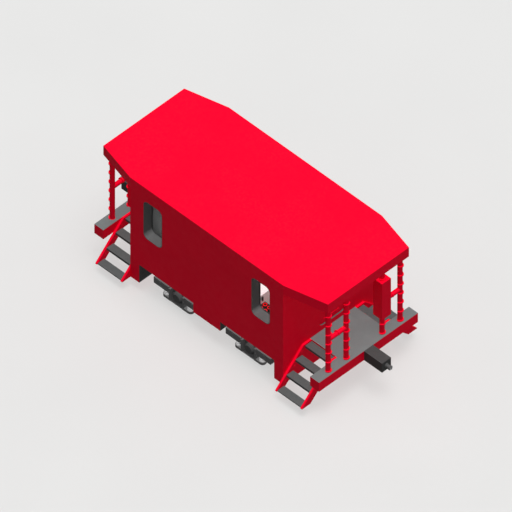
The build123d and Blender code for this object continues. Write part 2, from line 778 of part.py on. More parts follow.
def axle():
    """One axle along Y through the origin, with its thinner journals."""
    shoulder = wheel_back_distance / 2 + wheel_width + hub_overhang + axle_shoulder
    tip = frame_inner - axle_box_thickness + journal_depth - journal_end_gap
    half = [(axle_radius, shoulder), (journal_radius, shoulder + axle_slope),
            (journal_radius, tip - journal_chamfer), (journal_radius - journal_chamfer, tip), (0, tip)]
    return spun([(0, -tip)] + [(r, -y) for r, y in reversed(half[:-1])] + half)


write("roof", roof())
for name, side in SIDES:
    write(f"side_wall_{name}", side_wall(side))
for name, end in ENDS:
    write(f"end_wall_{name}", to_end(end_wall(), end))
write("floor", floor())
write("centre_sill", centre_sill())
# distance from the pivot, width
beams = [(offset, bearer_width) for offset in bearer_offsets] + [(0, bolster_width)]
write("cross_beams", [cross_beam(end * (truck_offset + offset), width, side)
                      for offset, width in beams for _, end in ENDS for _, side in SIDES])
write("centre_plates", [to_end(centre_plate(), end) for _, end in ENDS])
write("equipment_box", equipment_box())
write("platform_decks", [to_end(deck(), end) for _, end in ENDS])
write("end_beams", [to_end(end_beam(), end) for _, end in ENDS])
write("drawbars", [to_end(drawbar(), end) for _, end in ENDS])
write("coupling_noses", [to_end(coupling_nose(), end) for _, end in ENDS])
for name, end in ENDS:
    write(f"step_stringers_{name}", step_stringers(end))
    write(f"step_treads_{name}", step_treads(end))
    write(f"railing_posts_{name}", railing_posts(end))
    write(f"cross_rails_{name}", [cross_rail(end, side) for _, side in SIDES])
write("brake_housing", brake_housing())
windows = [(x, side) for x in (-window_offset, window_offset) for _, side in SIDES]
write("window_casings", [window_casing(x, side) for x, side in windows])
write("window_panes", [window_pane(x, side) for x, side in windows])
write("window_shutter", window_shutter())
write("thresholds", [to_end(threshold(), end) for _, end in ENDS])
write("door_hinge_pins", [to_end(hinge_pin(z), end) for _, end in ENDS for z in hinge_heights])
write("galley_cupboard", galley_cupboard())
write("camp_stove", camp_stove())
write("stove_rings", stove_rings())
for name, end in ENDS:
    write(f"door_{name}", to_end(door_leaf(), end))
    write(f"door_{name}_pane", to_end(door_pane(), end))
    write(f"door_{name}_knobs", [to_end(knob, end) for knob in door_knobs()])
    frame = side_frame()
    write(f"truck_{name}_side_frames", [mirrored(frame, end, side) for _, side in SIDES])
    springs = [spring(x) for x in (-axle_offset, axle_offset)]
    write(f"truck_{name}_springs", [mirrored(coil, end, side) for coil in springs for _, side in SIDES])
    boxes = [axle_box(x) for x in (-axle_offset, axle_offset)]
    write(f"truck_{name}_axle_boxes", [mirrored(box, end, side) for box in boxes for _, side in SIDES])
    write(f"truck_{name}_bolster", to_end(truck_bolster(), end))
    for number, offset in ((1, axle_offset), (2, -axle_offset)):
        place = Pos(end * (truck_offset + offset), 0, axle_height)
        write(f"wheelset_{name}{number}_axle", place * axle())
        write(f"wheelset_{name}{number}_wheels", [place * wheel(), place * mirror(wheel(), Plane.XZ)])
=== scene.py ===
"""The dress of a short eight-wheeled caboose, piece by piece, in the order it is put together.

Everything is in metres. X runs along the car, Y across it and Z up, with the origin on the ground
under the car's middle. End A is at +X and the side that the camera sees is at -Y.
"""
import math

import bpy
import numpy as np
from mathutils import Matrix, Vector


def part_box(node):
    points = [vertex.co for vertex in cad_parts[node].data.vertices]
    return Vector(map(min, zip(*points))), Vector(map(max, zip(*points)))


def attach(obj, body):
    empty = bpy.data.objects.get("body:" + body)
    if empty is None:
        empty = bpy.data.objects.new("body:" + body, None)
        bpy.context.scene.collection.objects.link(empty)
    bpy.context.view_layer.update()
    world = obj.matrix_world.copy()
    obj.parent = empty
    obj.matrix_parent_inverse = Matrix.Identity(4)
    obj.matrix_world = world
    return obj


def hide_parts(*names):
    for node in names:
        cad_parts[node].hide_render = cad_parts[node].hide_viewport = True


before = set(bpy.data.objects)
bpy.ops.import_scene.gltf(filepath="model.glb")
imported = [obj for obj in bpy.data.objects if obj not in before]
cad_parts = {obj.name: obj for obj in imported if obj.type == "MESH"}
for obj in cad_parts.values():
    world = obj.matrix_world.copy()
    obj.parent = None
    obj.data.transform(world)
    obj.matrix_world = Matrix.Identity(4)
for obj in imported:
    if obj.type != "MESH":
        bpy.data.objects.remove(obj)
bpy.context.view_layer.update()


# Roof
# One flat slab, a frame closed with welded steel sheet, in sprayed satin red enamel. Rain runs
# off at the eaves, so the paint is clean but for a faint film of dust in patches.

# nearly all values of a soft noise lie between these
NOISE_LOW, NOISE_HIGH = 0.3, 0.7


class Finish:
    """A material being mixed. Its patterns read the piece's own object coordinates, in metres.

    The settings are fixed values on the shader's sockets, named like them with _ for a space.
    """

    def __init__(self, name, **settings):
        self.material = bpy.data.materials.new(name)
        self.material.use_nodes = True
        self.tree = self.material.node_tree
        self.shader = self.tree.nodes["Principled BSDF"]
        for label, value in settings.items():
            self.shader.inputs[label.replace("_", " ")].default_value = value
        self.place = self.add("ShaderNodeTexCoord").outputs["Object"]
        self.parts = self.add("ShaderNodeSeparateXYZ", {0: self.place}).outputs

    def feed(self, node, sockets):
        """Gives each socket a fixed value or joins it to another node's output."""
        for key, value in sockets.items():
            socket = node.inputs[key]
            if isinstance(value, bpy.types.NodeSocket):
                self.tree.links.new(value, socket)
            elif socket.type == "RGBA":
                socket.default_value = (*value, 1.0)
            else:
                socket.default_value = value

    def add(self, kind, sockets=None, **settings):
        """One new node of the given kind, with its settings made and its sockets fed."""
        node = self.tree.nodes.new(kind)
        for label, value in settings.items():
            setattr(node, label, value)
        self.feed(node, sockets or {})
        return node

    def clouds(self, size, detail=3.0, stretch=(1, 1, 1)):
        """Soft noise from 0 to 1 with patches about size metres wide, drawn out by stretch."""
        spread = tuple(1 / (size * axis) for axis in stretch)
        mapped = self.add("ShaderNodeMapping", {"Vector": self.place, "Scale": spread}).outputs[0]
        noise = self.add("ShaderNodeTexNoise", {"Vector": mapped, "Scale": 1.0, "Detail": detail})
        return noise.outputs[0]

    def ramp(self, value, low, high, start=0.0, end=1.0):
        """value carried from low..high to start..end and held at both."""
        sockets = {"Value": value, "From Min": low, "From Max": high,
                   "To Min": start, "To Max": end}
        return self.add("ShaderNodeMapRange", sockets, clamp=True).outputs[0]

    def soft(self, noise, start=0.0, end=1.0):
        """A soft noise spread over start..end."""
        return self.ramp(noise, NOISE_LOW, NOISE_HIGH, start, end)

    def sums(self, operation, first, second=0.0, third=0.0):
        """One step of arithmetic between values."""
        sockets = {0: first, 1: second, 2: third}
        return self.add("ShaderNodeMath", sockets, operation=operation).outputs[0]

    def mix(self, share, first, second):
        """The first colour turning into the second as share goes from 0 to 1."""
        # this node has a set of sockets for each kind of data: 6, 7 and 2 are the ones for colours
        node = self.add("ShaderNodeMix", {0: share, 6: first, 7: second}, data_type="RGBA")
        return node.outputs[2]

    def tones(self, noise, colour, darker, lighter):
        """The colour clouded by a soft noise, from a darker to a lighter share of it."""
        return self.mix(self.soft(noise), shade(colour, darker), shade(colour, lighter))

    def relief(self, *layers):
        """Bumps laid over each other, each a height from 0 to 1 and its depth in metres."""
        normal = None
        for height, depth in layers:
            sockets = {"Height": height, "Distance": depth, "Strength": 1.0}
            if normal:
                sockets["Normal"] = normal
            normal = self.add("ShaderNodeBump", sockets).outputs[0]
        self.feed(self.shader, {"Normal": normal})

    def done(self, colour, roughness):
        """Joins the colour and the roughness to the shader and hands the material over."""
        self.feed(self.shader, {"Base Color": colour, "Roughness": roughness})
        return self.material


def shade(colour, factor):
    """A colour made lighter or darker."""
    return tuple(channel * factor for channel in colour)


def dress(material, *nodes):
    """Gives carried-over pieces their finish."""
    for name in nodes:
        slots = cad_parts[name].data.materials
        slots.clear()
        slots.append(material)


ENAMEL_RED = (0.88, 0.0, 0.024)
DUST = (0.42, 0.10, 0.09)
PRIMER = (0.20, 0.015, 0.015)
# widths of the enamel's patterns
PATCH, MOTTLE, STREAK, CHIP, PEEL, WAVE = 1.3, 0.12, 0.05, 0.022, 0.004, 0.5
STREAK_LENGTH = 14
# the noise between which a chip's edge runs
CHIP_EDGE = (0.765, 0.785)
WAVE_DEPTH, PEEL_DEPTH, CHIP_DEPTH = 0.004, 0.00025, 0.0004


def enamel(name, colour, dusty=0.05, worn=0.05, cover=None):
    """Sprayed enamel: cloudy in colour, faintly dusty, chipped to the primer in a few small spots.

    cover changes the clean colour before dust and chips are laid on it.
    """
    paint = Finish(name, Specular_IOR_Level=0.06)
    broad = paint.clouds(PATCH, 4)
    near = paint.clouds(MOTTLE, 5)
    coat = paint.mix(paint.ramp(broad, 0.35, 0.65), shade(colour, 0.975), shade(colour, 1.025))
    coat = paint.mix(paint.soft(near, 0, 0.3), coat, shade(colour, 0.95))
    if cover:
        coat = cover(paint, coat)
    streaks = paint.clouds(STREAK, 4, (1, 1, STREAK_LENGTH))
    film = paint.ramp(broad, 0.4, 0.75, 0, dusty)
    dust = paint.sums("MULTIPLY", paint.ramp(streaks, 0.45, 0.8), film)
    coat = paint.mix(dust, coat, DUST)
    chips = paint.ramp(paint.clouds(CHIP, 2), *CHIP_EDGE, 0, worn)
    coat = paint.mix(chips, coat, PRIMER)
    peel = paint.clouds(PEEL, 2)
    waves = paint.clouds(WAVE, 1)
    paint.relief((waves, WAVE_DEPTH), (peel, PEEL_DEPTH), (chips, -CHIP_DEPTH))
    return paint.done(coat, paint.soft(near, 0.42, 0.58))


dress(enamel("roof_enamel", ENAMEL_RED, dusty=0.06, worn=0.0), "roof")


# Side walls and end walls
# Steel sheet on both faces of a thick insulated frame, sprayed red outside. The inner faces, also
# below the floor where they face the trucks, only have dull grey primer.

LINING_GREY = (0.06, 0.06, 0.06)
wall_low, wall_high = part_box("side_wall_right")
end_low, end_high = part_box("end_wall_a")
inner_side = -wall_high.y
inner_end = end_low.x
# how far off its plane a face may be found
FACE_SLACK = 0.0006
skirt_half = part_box("equipment_box")[1].x
# the height that a wall reaches down to where it has no skirt
WALL_FOOT = 0.75


def lined(axis, plane, skirt_end=0.0):
    """The primer of whatever lies no further out than the inner face at plane along the axis.

    The end faces of a skirt, which lie at skirt_end below the wall's foot, aren't red either.
    """
    def cover(paint, coat):
        depth = paint.sums("ABSOLUTE", paint.parts[axis])
        inner = paint.sums("LESS_THAN", depth, plane + FACE_SLACK)
        if skirt_end:
            along = paint.sums("ABSOLUTE", paint.parts[0])
            beyond = paint.sums("GREATER_THAN", along, skirt_end - FACE_SLACK)
            low = paint.sums("LESS_THAN", paint.parts[2], WALL_FOOT - FACE_SLACK)
            inner = paint.sums("MAXIMUM", inner, paint.sums("MULTIPLY", beyond, low))
        return paint.mix(inner, coat, paint.tones(paint.clouds(0.3, 4), LINING_GREY, 0.85, 1.15))
    return cover


side_enamel = enamel("side_enamel", ENAMEL_RED, cover=lined(1, inner_side, skirt_half))
end_enamel = enamel("end_enamel", ENAMEL_RED, cover=lined(0, inner_end))
dress(side_enamel, "side_wall_right", "side_wall_left")
dress(end_enamel, "end_wall_a", "end_wall_b")


# Windows
# Grey steel linings held in the walls by round-headed screws, with one fixed pane in each, bedded
# in strips of black rubber. A painted shutter is closed behind the near pane at end B.

CASING_GREY = (0.10, 0.10, 0.10)
SHUTTER_GREY = (0.19, 0.19, 0.19)
CLEAN_GLASS = (0.985, 0.995, 0.995)
DUSTY_GLASS = (0.95, 0.965, 0.965)


def plain_paint(name, colour, grain=0.0003, roughness=0.5, scuffed=0.06):
    """Brushed paint: a little cloudy, rubbed lighter in short streaks, with a fine grain."""
    paint = Finish(name, Specular_IOR_Level=0.1)
    near = paint.clouds(0.09, 5)
    coat = paint.tones(near, colour, 0.93, 1.07)
    rubbed = paint.ramp(paint.clouds(0.01, 3, (7, 7, 1)), 0.62, 0.75, 0, scuffed)
    coat = paint.mix(rubbed, coat, shade(colour, 2.2))
    paint.relief((paint.clouds(0.0035, 3), grain))
    return paint.done(coat, paint.soft(near, roughness - 0.08, roughness + 0.1))


def clear_glass(name):
    """Sheet glass with the faintest dust."""
    glass = Finish(name, IOR=1.15, Transmission_Weight=1.0)
    haze = glass.ramp(glass.clouds(0.2, 4), 0.45, 0.8)
    glass.relief((glass.clouds(0.4, 1), 0.0004))
    return glass.done(glass.mix(haze, CLEAN_GLASS, DUSTY_GLASS), glass.ramp(haze, 0, 1, 0.01, 0.03))


casing_paint = plain_paint("casing_paint", CASING_GREY)
dress(casing_paint, "window_casings")
dress(plain_paint("shutter_paint", SHUTTER_GREY), "window_shutter")
dress(clear_glass("window_glass"), "window_panes")


def facing_out(points, faces):
    """Four-cornered faces of closed shells, turned round if they hold a negative volume."""
    first, second, third, fourth = (points[faces[:, corner]] for corner in range(4))
    volume = np.sum(first * (np.cross(second, third) + np.cross(third, fourth)))
    return faces if volume > 0 else faces[:, ::-1]


def in_scene(name, data):
    """A new object that shows the data."""
    thing = bpy.data.objects.new(name, data)
    bpy.context.scene.collection.objects.link(thing)
    return thing


def fitting(name, material, shells, smooth=False):
    """One piece made of closed shells, each given by its points and its four-cornered faces."""
    starts = np.cumsum([0] + [len(points) for points, _ in shells])
    points = np.concatenate([points for points, _ in shells])
    faces = np.concatenate([facing_out(*shell) + start for shell, start in zip(shells, starts)])
    mesh = bpy.data.meshes.new(name)
    mesh.from_pydata(points, [], faces.tolist())
    mesh.polygons.foreach_set("use_smooth", np.full(len(faces), smooth))
    mesh.materials.append(material)
    return in_scene(name, mesh)


def closed_grid(points):
    """A shell from a grid of points whose two directions both run round and meet themselves."""
    across, along = points.shape[:2]
    i, j = np.meshgrid(np.arange(across), np.arange(along), indexing="ij")
    here, ahead, beside = i * along, (i + 1) % across * along, (j + 1) % along
    faces = np.stack([here + j, ahead + j, ahead + beside, here + beside], axis=-1)
    return points.reshape(-1, 3), faces.reshape(-1, 4)


def full_turn(steps):
    """Even steps round a circle, as angles."""
    return np.arange(steps) * 2 * math.pi / steps


def heads(profile, sides, places, axes):
    """Turned heads of screws, bolts or rivets, or posts, one at each place and along its own axis.

    point = place + radius (cos t across + sin t up) + rise along the axis, for every radius and
    rise of the profile, which starts and ends a hair off the axis. Strips of faces close its ends.
    """
    places, axes = np.broadcast_arrays(np.asarray(places, float), np.asarray(axes, float))
    radius, rise = np.asarray(profile).T
    turn = full_turn(sides)[:, None]
    # any direction that isn't the axis will do: Z, or X where the axis is upright
    aside = np.where(np.abs(axes[:, 2:]) < 0.9, (0.0, 0.0, 1.0), (1.0, 0.0, 0.0))
    across = np.cross(aside, axes)
    across /= np.linalg.norm(across, axis=1, keepdims=True)
    up = np.cross(axes, across)
    circle = np.cos(turn) * across[:, None] + np.sin(turn) * up[:, None]
    points = (places[:, None, None] + radius[:, None, None] * circle[:, None]
              + rise[:, None, None] * axes[:, None, None])
    ring, step = np.meshgrid(np.arange(len(radius) - 1), np.arange(sides), indexing="ij")
    here, beside = ring * sides + step, ring * sides + (step + 1) % sides
    walls = np.stack([here, beside, beside + sides, here + sides], axis=-1).reshape(-1, 4)
    half = np.arange(sides // 2 - 1)
    cap = np.stack([half, half + 1, sides - 2 - half, sides - 1 - half], axis=-1)
    top = cap + (len(radius) - 1) * sides
    starts = np.arange(len(places)) * len(radius) * sides
    faces = np.concatenate([walls, cap[:, ::-1], top]) + starts[:, None, None]
    return points.reshape(-1, 3), faces.reshape(-1, 4)


def corners(values, *others):
    """Every combination of the given values, one row each."""
    return np.stack([grid.ravel() for grid in np.meshgrid(values, *others, indexing="ij")], axis=-1)


# radius, rise
SCREW_HEAD = [(0.0070, -0.0004), (0.0070, 0.0008), (0.0058, 0.0026), (0.0034, 0.0037),
              (0.0010, 0.0040)]
SCREW_SIDES = 10
SCREW_PITCH = 0.3
pane_low, pane_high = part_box("window_panes")
# from the car's middle to a window's middle
WINDOW_OFFSET = 1.5
# how far a piece is sunk into the one that carries it
SEAT = 0.0003
pane_half = np.array([pane_high.x - WINDOW_OFFSET, (pane_high.z - pane_low.z) / 2]) + SEAT
window_height = (pane_high.z + pane_low.z) / 2
# how far out the middle of a lining's depth lies
lining_middle = inner_side + (wall_high.y - wall_low.y) / 2


def lining_screws(sign_x, side):
    """Screws in one lining: three up each jamb, and two each in its head and its sill."""
    jambs = corners([-1.0, 1.0], [-SCREW_PITCH, 0.0, SCREW_PITCH])
    ends = corners([-SCREW_PITCH / 3, SCREW_PITCH / 3], [-1.0, 1.0])
    x = np.concatenate([jambs[:, 0] * pane_half[0], ends[:, 0]]) + sign_x * WINDOW_OFFSET
    z = np.concatenate([jambs[:, 1], ends[:, 1] * pane_half[1]]) + window_height
    y = np.full(len(x), side * lining_middle)
    inward = np.concatenate([-jambs[:, :1] * (1, 0, 0), -ends[:, 1:] * (0, 0, 1)])
    return heads(SCREW_HEAD, SCREW_SIDES, np.stack([x, y, z], axis=-1), inward)


window_corners = [(end, side) for end in (-1, 1) for side in (-1, 1)]
casing_screws = fitting("casing_screws", casing_paint,
                        [lining_screws(*place) for place in window_corners], smooth=True)
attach(casing_screws, "carbody")

RUBBER_BLACK = (0.03, 0.03, 0.03)
# the radius of a pane's corners
PANE_CORNER = 0.113
# from the walls' inner faces to the panes
PANE_INSET = 0.015
STRIP = 0.008
STRIP_SINK = 0.0002
# reach beyond the pane's edge, depth off its face
STRIP_PROFILE = [(STRIP_SINK, -STRIP_SINK), (-STRIP, -STRIP_SINK), (-0.92 * STRIP, 0.38 * STRIP),
                 (-0.70 * STRIP, 0.70 * STRIP), (-0.38 * STRIP, 0.92 * STRIP), (STRIP_SINK, STRIP)]
QUARTER_STEPS = 9
rubber = plain_paint("black_rubber", RUBBER_BLACK, grain=0.0002, roughness=0.6, scuffed=0.03)


def bedding(half, corner, off_face):
    """A quarter-round strip carried round a rounded rectangle, as reach across, reach up and depth.

    point = corner's middle + (corner radius + reach) (cos t, sin t), with t running a quarter turn
    at each of the four corners.
    """
    reach, depth = np.asarray(STRIP_PROFILE).T
    quarter = np.repeat(np.arange(4), QUARTER_STEPS)
    turn = (quarter + np.tile(np.linspace(0, 1, QUARTER_STEPS), 4)) * math.pi / 2
    middle = np.array([(1, 1), (-1, 1), (-1, -1), (1, -1)])[quarter] * (np.asarray(half) - corner)
    out = np.stack([np.cos(turn), np.sin(turn)], axis=-1)
    flat = middle[:, None] + (corner + reach)[:, None] * out[:, None]
    return flat[..., 0], flat[..., 1], np.broadcast_to(off_face * depth, flat.shape[:2])


def window_strip(sign_x, side, face, off_face):
    """The strip on one face of one window's pane."""
    across, up, depth = bedding(pane_half, PANE_CORNER, off_face)
    x = sign_x * WINDOW_OFFSET + across
    return closed_grid(np.stack([x, side * (face + depth), window_height + up], axis=-1))


pane_faces = ((pane_high.y, 1), (inner_side + PANE_INSET, -1))
pane_strips = fitting("pane_strips", rubber, [
    window_strip(*place, *face) for place in window_corners for face in pane_faces], smooth=True)
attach(pane_strips, "carbody")


# Doors
# One thick steel leaf in each end wall, red like the walls, with a sunk panel below its pane, and
# bare steel knobs and hinge pins. It shuts against a grey stop frame that has a red outer face.

BARE_STEEL = (0.42, 0.42, 0.42)


def bare_steel(name, colour, shine=0.55, roughness=0.4):
    """Bare steel with fine tool marks, darker where oil has dried on it."""
    steel = Finish(name, Metallic=shine, Specular_IOR_Level=0.5)
    oil = steel.ramp(steel.clouds(0.03, 5), 0.45, 0.75)
    tint = steel.mix(oil, shade(colour, 1.05), shade(colour, 0.8))
    marks = steel.clouds(0.002, 3)
    steel.relief((marks, 0.0001))
    return steel.done(tint, steel.ramp(marks, 0.2, 0.8, roughness - 0.08, roughness + 0.12))


dress(enamel("door_enamel", ENAMEL_RED, worn=0.15), "door_a", "door_b")
dress(clear_glass("door_glass"), "door_a_pane", "door_b_pane")
dress(bare_steel("fittings_steel", BARE_STEEL), "door_a_knobs", "door_b_knobs", "door_hinge_pins")


def stop_frame(paint, coat):
    """Grey like the windows' linings, apart from the red outer face."""
    depth = paint.sums("ABSOLUTE", paint.parts[0])
    outer = paint.sums("GREATER_THAN", depth, end_high.x - FACE_SLACK)
    return paint.mix(outer, paint.tones(paint.clouds(0.09, 5), CASING_GREY, 0.93, 1.07), coat)


dress(enamel("stop_frame_paint", ENAMEL_RED, cover=stop_frame), "thresholds")

door_low, door_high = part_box("door_a_pane")
door_pane_half = np.array([door_high.y - door_low.y, door_high.z - door_low.z]) / 2 + SEAT
door_pane_height = (door_high.z + door_low.z) / 2
DOOR_PANE_CORNER = 0.06


def door_strip(sign, face, off_face):
    """The strip on one face of one door's pane."""
    across, up, depth = bedding(door_pane_half, DOOR_PANE_CORNER, off_face)
    return closed_grid(np.stack([sign * (face + depth), across, door_pane_height + up], axis=-1))


for end, sign in (("a", 1), ("b", -1)):
    strips = fitting(f"door_{end}_strips", rubber, [
        door_strip(sign, door_high.x, 1), door_strip(sign, door_low.x, -1)], smooth=True)
    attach(strips, f"door_{end}")

SILL_TOP = 1.09
SILL_SCREW_ROWS = (1.9, 1.99)
SILL_SCREW_REACH = 0.38
sill_places = corners([sign * row for sign in (-1, 1) for row in SILL_SCREW_ROWS],
                      [-SILL_SCREW_REACH, 0.0, SILL_SCREW_REACH], [SILL_TOP])
sill_screws = fitting("sill_screws", casing_paint, [
    heads(SCREW_HEAD, SCREW_SIDES, sill_places, [(0, 0, 1)])], smooth=True)
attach(sill_screws, "carbody")


# Cabin floor
# Tongued boards laid along the car and oiled, with a groove between each two.

BOARD_WIDTH = 0.125
OILED_WOOD = (0.20, 0.145, 0.095)


def oiled_boards(name):
    """Boards in slightly different browns, with their grain running along the car."""
    wood = Finish(name, Specular_IOR_Level=0.3)
    board = wood.sums("FLOOR", wood.sums("DIVIDE", wood.parts[1], BOARD_WIDTH))
    tone = wood.add("ShaderNodeTexWhiteNoise", {1: board}, noise_dimensions="1D").outputs[0]
    grain = wood.clouds(0.012, 5, (28, 1, 1))
    colour = wood.tones(grain, OILED_WOOD, 0.7, 1.25)
    colour = wood.mix(wood.ramp(tone, 0, 1, 0, 0.35), colour, shade(OILED_WOOD, 0.55))
    wood.relief((grain, 0.0006))
    return wood.done(colour, wood.soft(grain, 0.5, 0.7))


dress(oiled_boards("floor_boards"), "floor")


# Galley
# A white enamelled cupboard beside a small black stove, seen through the near window. Four rings of
# sheathed wire on its hotplate give off a painted red glow, though they are no lamp.

WHITE_ENAMEL = (0.88, 0.88, 0.88)
HANDLE_GREY = (0.07, 0.07, 0.07)
BLACK_ENAMEL = (0.004, 0.004, 0.004)
# the rings' red, which they also give off as a painted glow
GLOW_RED = (0.72, 0.0, 0.004)
cupboard_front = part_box("galley_cupboard")[1].x
# how far the handle stands out from the cupboard's door
HANDLE_PROUD = 0.03


def handled(paint, coat):
    """The dark handle, which is all that stands proud of the cupboard's door."""
    proud = paint.sums("GREATER_THAN", paint.parts[0], cupboard_front - HANDLE_PROUD + FACE_SLACK)
    grip = paint.tones(paint.clouds(0.02), HANDLE_GREY, 0.8, 1.3)
    return paint.mix(proud, coat, grip)


dress(enamel("cupboard_enamel", WHITE_ENAMEL, dusty=0.03, worn=0.0, cover=handled),
      "galley_cupboard")
dress(plain_paint("stove_enamel", BLACK_ENAMEL, grain=0.0004, roughness=0.35), "camp_stove")

ring_low, ring_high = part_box("stove_rings")
# from the edge of the four rings' box to a ring's middle
RING_MARGIN = 0.0578
RING_RADIUS = 0.038
WIRE_RADIUS = 0.006
# round the ring, round the wire
RING_STEPS = (40, 10)


def painted_glow_wire(name):
    """Sheathed wire with a painted red glow of its own, brighter in soft patches."""
    wire = Finish(name, Specular_IOR_Level=0.1, Emission_Strength=1.0)
    glow_patches = wire.clouds(0.03, 3)
    painted_glow_colour = wire.mix(wire.ramp(glow_patches, 0.35, 0.65), shade(GLOW_RED, 0.8), shade(GLOW_RED, 1.2))
    # painted glow: the wire gives off red light of its own though it is no lamp
    wire.feed(wire.shader, {"Emission Color": painted_glow_colour})
    wire.relief((wire.clouds(0.002, 3), 0.0002))
    return wire.done(painted_glow_colour, wire.soft(glow_patches, 0.4, 0.6))


def wire_ring(middle, radius, wire, steps, ripple=0.0, ripples=0):
    """A level ring of round wire, which may be rippled.

    point = middle + (radius + w cos v) (cos u, sin u) across and w sin v up, where w is the wire's
    radius times 1 + ripple sin (ripples u), and steps are the counts of u and v round.
    """
    u, v = np.meshgrid(*map(full_turn, steps), indexing="ij")
    width = wire * (1 + ripple * np.sin(ripples * u))
    reach = radius + width * np.cos(v)
    offset = np.stack([reach * np.cos(u), reach * np.sin(u), width * np.sin(v)], axis=-1)
    return closed_grid(middle + offset)


ring_middles = corners([ring_low.x + RING_MARGIN, ring_high.x - RING_MARGIN],
                       [ring_low.y + RING_MARGIN, ring_high.y - RING_MARGIN],
                       [ring_low.z + WIRE_RADIUS])
glowing_rings = fitting("glowing_rings", painted_glow_wire("painted_glow_wire"), [
    wire_ring(middle, RING_RADIUS, WIRE_RADIUS, RING_STEPS)
    for middle in ring_middles], smooth=True)
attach(glowing_rings, "carbody")
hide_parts("stove_rings")


# Platforms
# Steel decks in worn grey grip paint between red end beams, whose top faces carry the same grey.
# The drawbars are dark grey boxes through the beams, with turned steel noses.

DECK_GREY = (0.152, 0.168, 0.168)
DRAWBAR_GREY = (0.058, 0.058, 0.058)
NOSE_STEEL = (0.10, 0.10, 0.10)
STUD_STEEL = (0.5, 0.5, 0.5)
deck_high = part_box("platform_decks")[1]
nose_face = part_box("coupling_noses")[1].x
STUD_LENGTH = 0.012


def grip_paint(paint):
    """Grey paint strewn with grit, rubbed paler in patches where feet fall."""
    grit = paint.clouds(0.0025, 2)
    trodden = paint.ramp(paint.clouds(0.35, 5), 0.5, 0.72, 0, 0.3)
    coat = paint.tones(grit, DECK_GREY, 0.88, 1.12)
    return paint.mix(trodden, coat, shade(DECK_GREY, 1.35)), grit


def grip_deck(name):
    """The decks' finish, with red edges."""
    paint = Finish(name, Specular_IOR_Level=0.06)
    coat, grit = grip_paint(paint)
    across = paint.sums("ABSOLUTE", paint.parts[1])
    coat = paint.mix(paint.sums("GREATER_THAN", across, deck_high.y - FACE_SLACK), coat, ENAMEL_RED)
    paint.relief((grit, 0.0007), (paint.clouds(0.6, 1), 0.003))
    return paint.done(coat, paint.soft(grit, 0.6, 0.8))


def decked(paint, coat):
    """The end beams' grey top faces."""
    top = paint.sums("GREATER_THAN", paint.parts[2], deck_high.z - FACE_SLACK)
    return paint.mix(top, coat, grip_paint(paint)[0])


def studded(name):
    """The noses' turned steel, brighter on the studs in their faces."""
    steel = Finish(name, Metallic=0.15, Specular_IOR_Level=0.15)
    depth = steel.sums("ABSOLUTE", steel.parts[0])
    stud = steel.sums("GREATER_THAN", depth, nose_face - STUD_LENGTH + FACE_SLACK)
    rings = steel.clouds(0.0015, 2, (1, 30, 30))
    tint = steel.tones(rings, NOSE_STEEL, 0.9, 1.1)
    steel.relief((rings, 0.0001))
    return steel.done(steel.mix(stud, tint, STUD_STEEL), steel.soft(rings, 0.35, 0.5))


dress(grip_deck("deck_grip_paint"), "platform_decks")
beam_enamel = enamel("beam_enamel", ENAMEL_RED, cover=decked)
drawbar_paint = plain_paint("drawbar_paint", DRAWBAR_GREY, grain=0.0008, roughness=0.55)
dress(beam_enamel, "end_beams")
dress(drawbar_paint, "drawbars")
dress(studded("nose_steel"), "coupling_noses")

# radius, rise
RIVET_HEAD = [(0.0085, -0.0005), (0.0085, 0.0006), (0.0074, 0.0032), (0.0046, 0.0051),
              (0.0012, 0.0058)]
RIVET_SIDES = 12
RIVETS_ACROSS = 21
RIVET_MARGIN = 0.028
BOLT_HEAD = [(0.0120, -0.0005), (0.0120, 0.0080), (0.0108, 0.0092), (0.0015, 0.0092)]
BOLT_SIDES = 6
# from the drawbar's middle line to each of its bolts, across and up
BOLT_REACH = 0.088
beam_low, beam_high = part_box("end_beams")
bar_low, bar_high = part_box("drawbars")
bar_height = (bar_low.z + bar_high.z) / 2


def at_both_ends(profile, sides, places):
    """Heads on faces at end A, and the same on the mirrored faces at end B."""
    return [heads(profile, sides, places * (sign, 1, 1), [(sign, 0, 0)]) for sign in (1, -1)]


rivet_places = corners([beam_high.x],
                       np.linspace(-1, 1, RIVETS_ACROSS) * (beam_high.y - RIVET_MARGIN),
                       [beam_low.z + RIVET_MARGIN, beam_high.z - RIVET_MARGIN])
rivet_places = rivet_places[np.abs(rivet_places[:, 1]) > bar_high.y + RIVET_MARGIN]
beam_rivets = fitting("beam_rivets", beam_enamel,
                      at_both_ends(RIVET_HEAD, RIVET_SIDES, rivet_places), smooth=True)
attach(beam_rivets, "carbody")

bolt_places = corners([bar_high.x], [-BOLT_REACH, BOLT_REACH],
                      [bar_height - BOLT_REACH, bar_height + BOLT_REACH])
drawbar_bolts = fitting("drawbar_bolts", drawbar_paint,
                        at_both_ends(BOLT_HEAD, BOLT_SIDES, bolt_places))
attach(drawbar_bolts, "carbody")


# Steps
# Plate strings, welded in and sprayed red, carry grey pressed treads with a raised lozenge pattern.

TREAD_GREY = (0.091, 0.096, 0.096)


def worn_plate(name, colour):
    """Rolled plate, cloudy and scuffed paler where soles rub it."""
    plate = Finish(name, Specular_IOR_Level=0.1)
    near = plate.clouds(0.08, 5)
    scuffed = plate.ramp(plate.clouds(0.02, 4, (3, 1, 1)), 0.55, 0.75, 0, 0.25)
    coat = plate.tones(near, colour, 0.93, 1.07)
    plate.relief((plate.clouds(0.003, 3), 0.0003))
    coat = plate.mix(scuffed, coat, shade(colour, 1.5))
    return plate.done(coat, plate.soft(near, 0.5, 0.65))


string_enamel = enamel("string_enamel", ENAMEL_RED, worn=0.3)
tread_plate = worn_plate("tread_plate", TREAD_GREY)
dress(string_enamel, "step_stringers_a", "step_stringers_b")
dress(tread_plate, "step_treads_a", "step_treads_b")

